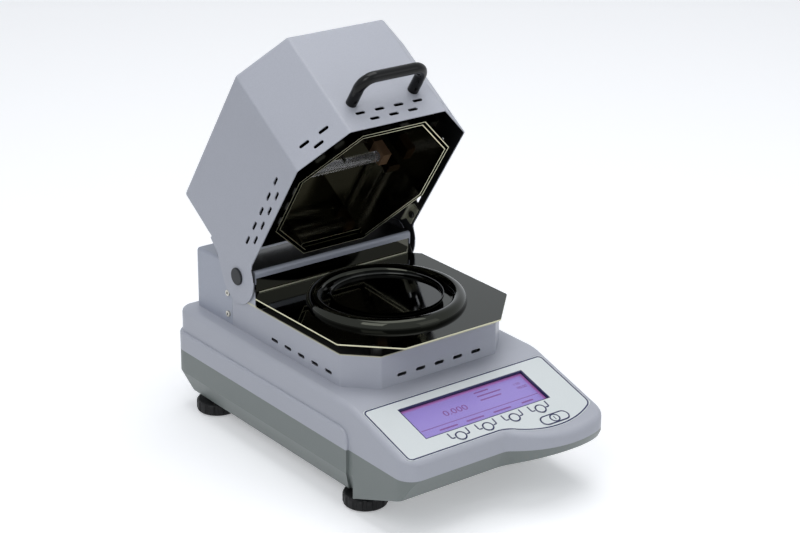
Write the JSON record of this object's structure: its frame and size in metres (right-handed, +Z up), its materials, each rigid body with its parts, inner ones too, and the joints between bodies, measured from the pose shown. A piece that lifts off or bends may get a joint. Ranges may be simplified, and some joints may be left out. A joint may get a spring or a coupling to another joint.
{
  "type": "moisture analyzer",
  "caption": "Benchtop moisture analyzer: balance console with sloping keypad and display, chamber plate with pan and draft ring, and an octagonal heating hood on a rear hinge.",
  "frame": {"origin": "on the bench under the middle of the footprint, on the pan's axis", "axes": "+X to the operator's right, +Y from the operator to the back, +Z up; the hood stands open"},
  "size_m": [0.21, 0.37, 0.3669],
  "materials": {
    "lower_plastic": "fine spark texture, grey green",
    "upper_plastic": "fine spark texture, lavender grey",
    "overlay_film": "printed polyester film",
    "key_film": "printed polyester film over the keys",
    "screen_lens": "clear hard-coated window",
    "screen_module": "liquid crystal module, violet field",
    "circuit_board": "solder resist",
    "screw_steel": "zinc plated",
    "stem_steel": "turned",
    "bracket_steel": "plain sheet",
    "brass_insert": "knurled insert",
    "cell_aluminium": "machined",
    "pan_aluminium": "bright pressed foil",
    "polished_steel": "mirror polished sheet",
    "shield_steel": "bright rolled sheet",
    "hood_paint": "powder coat outside, black inside the hood",
    "cover_paint": "powder coat",
    "insulation_sheet": "dark insulating sheet",
    "lamp_glass": "quartz tube",
    "ceramic": "glazed steatite",
    "black_gloss": "glossy black",
    "black_matte": "black moulding",
    "bush_plastic": "low-friction polymer",
    "connector_steel": "tin plated shell",
    "copper_core": "varnished copper winding"
  },
  "bodies": {
    "console": {"lower_housing": "lower_plastic", "upper_housing": "upper_plastic", "housing_screws": "screw_steel", "keypad_overlay": "overlay_film", "display_lens": "screen_lens", "lcd_module": "screen_module", "display_board": "circuit_board", "keypad_board": "circuit_board", "foot_inserts": "brass_insert", "load_cell": "cell_aluminium", "cell_pedestal": "cell_aluminium", "weigh_stem": "stem_steel", "pan_carrier": "stem_steel", "chamber_skirt": "hood_paint", "rear_cover": "cover_paint", "rear_cover_screws": "screw_steel", "rear_wall_panel": "polished_steel", "insulation_plate": "insulation_sheet", "chamber_plate": "polished_steel", "hinge_pins": "stem_steel", "hinge_caps": "black_matte", "power_inlet": "black_matte", "switch_frame": "black_matte", "data_connector": "connector_steel", "main_board": "circuit_board", "power_board": "circuit_board", "transformer": "copper_core", "lower_spacers": "stem_steel", "plate_spacers": "stem_steel"},
    "hood": {"hood_shell": "hood_paint", "heat_shield": "shield_steel", "reflector": "polished_steel", "liner_standoffs": "stem_steel", "shield_brackets": "bracket_steel", "side_stays": "bracket_steel", "lamps": "lamp_glass", "lamp_holders": "ceramic", "temperature_probe": "stem_steel", "handle": "black_gloss", "handle_screws": "screw_steel", "hinge_bushes": "bush_plastic"},
    "pan": {"sample_pan": "pan_aluminium"},
    "ring": {"draft_ring": "polished_steel"},
    "menu_key": {"menu_key": "key_film"},
    "rocker": {"power_rocker": "black_gloss"},
    "soft_key_1": {"soft_key_1": "key_film"},
    "soft_key_2": {"soft_key_2": "key_film"},
    "soft_key_3": {"soft_key_3": "key_film"},
    "soft_key_4": {"soft_key_4": "key_film"},
    "foot_front_left": {"foot_front_left": "black_matte", "foot_stud_front_left": "stem_steel"},
    "foot_front_right": {"foot_front_right": "black_matte", "foot_stud_front_right": "stem_steel"},
    "foot_rear_left": {"foot_rear_left": "black_matte", "foot_stud_rear_left": "stem_steel"},
    "foot_rear_right": {"foot_rear_right": "black_matte", "foot_stud_rear_right": "stem_steel"}
  },
  "joints": [
    {"name": "hood_hinge", "type": "hinge", "parent": "console", "child": "hood", "pos_m": [0, 0.0998, 0.1507], "axis": [1, 0, 0], "range_deg": [0, 56.4]},
    {"name": "soft_key_1_press", "type": "slide", "parent": "console", "child": "soft_key_1", "axis": [0, 0.2807, -0.9598], "range_m": [0, 0.0005], "stiffness_N_per_m": 400, "springref_m": -0.0005},
    {"name": "soft_key_2_press", "type": "slide", "parent": "console", "child": "soft_key_2", "axis": [0, 0.2807, -0.9598], "range_m": [0, 0.0005], "stiffness_N_per_m": 400, "springref_m": -0.0005},
    {"name": "soft_key_3_press", "type": "slide", "parent": "console", "child": "soft_key_3", "axis": [0, 0.2807, -0.9598], "range_m": [0, 0.0005], "stiffness_N_per_m": 400, "springref_m": -0.0005},
    {"name": "soft_key_4_press", "type": "slide", "parent": "console", "child": "soft_key_4", "axis": [0, 0.2807, -0.9598], "range_m": [0, 0.0005], "stiffness_N_per_m": 400, "springref_m": -0.0005},
    {"name": "menu_key_press", "type": "slide", "parent": "console", "child": "menu_key", "axis": [0, 0.2807, -0.9598], "range_m": [0, 0.0005], "stiffness_N_per_m": 400, "springref_m": -0.0005},
    {"name": "rocker_tilt", "type": "hinge", "parent": "console", "child": "rocker", "pos_m": [0.014, 0.174, 0.0755], "axis": [1, 0, 0], "range_deg": [0, 14]},
    {"name": "foot_front_left_screw", "type": "hinge", "parent": "console", "child": "foot_front_left", "pos_m": [-0.0815, -0.0795, 0.02], "axis": [0, 0, 1], "continuous": true},
    {"name": "foot_front_right_screw", "type": "hinge", "parent": "console", "child": "foot_front_right", "pos_m": [0.0815, -0.0795, 0.02], "axis": [0, 0, 1], "continuous": true},
    {"name": "foot_rear_left_screw", "type": "hinge", "parent": "console", "child": "foot_rear_left", "pos_m": [-0.0815, 0.15, 0.02], "axis": [0, 0, 1], "continuous": true},
    {"name": "foot_rear_right_screw", "type": "hinge", "parent": "console", "child": "foot_rear_right", "pos_m": [0.0815, 0.15, 0.02], "axis": [0, 0, 1], "continuous": true},
    {"name": "pan_lift", "type": "slide", "parent": "console", "child": "pan", "axis": [0, 0, 1], "range_m": [0, 0.018]},
    {"name": "ring_lift", "type": "slide", "parent": "console", "child": "ring", "axis": [0, 0, 1], "range_m": [0, 0.018]}
  ]
}
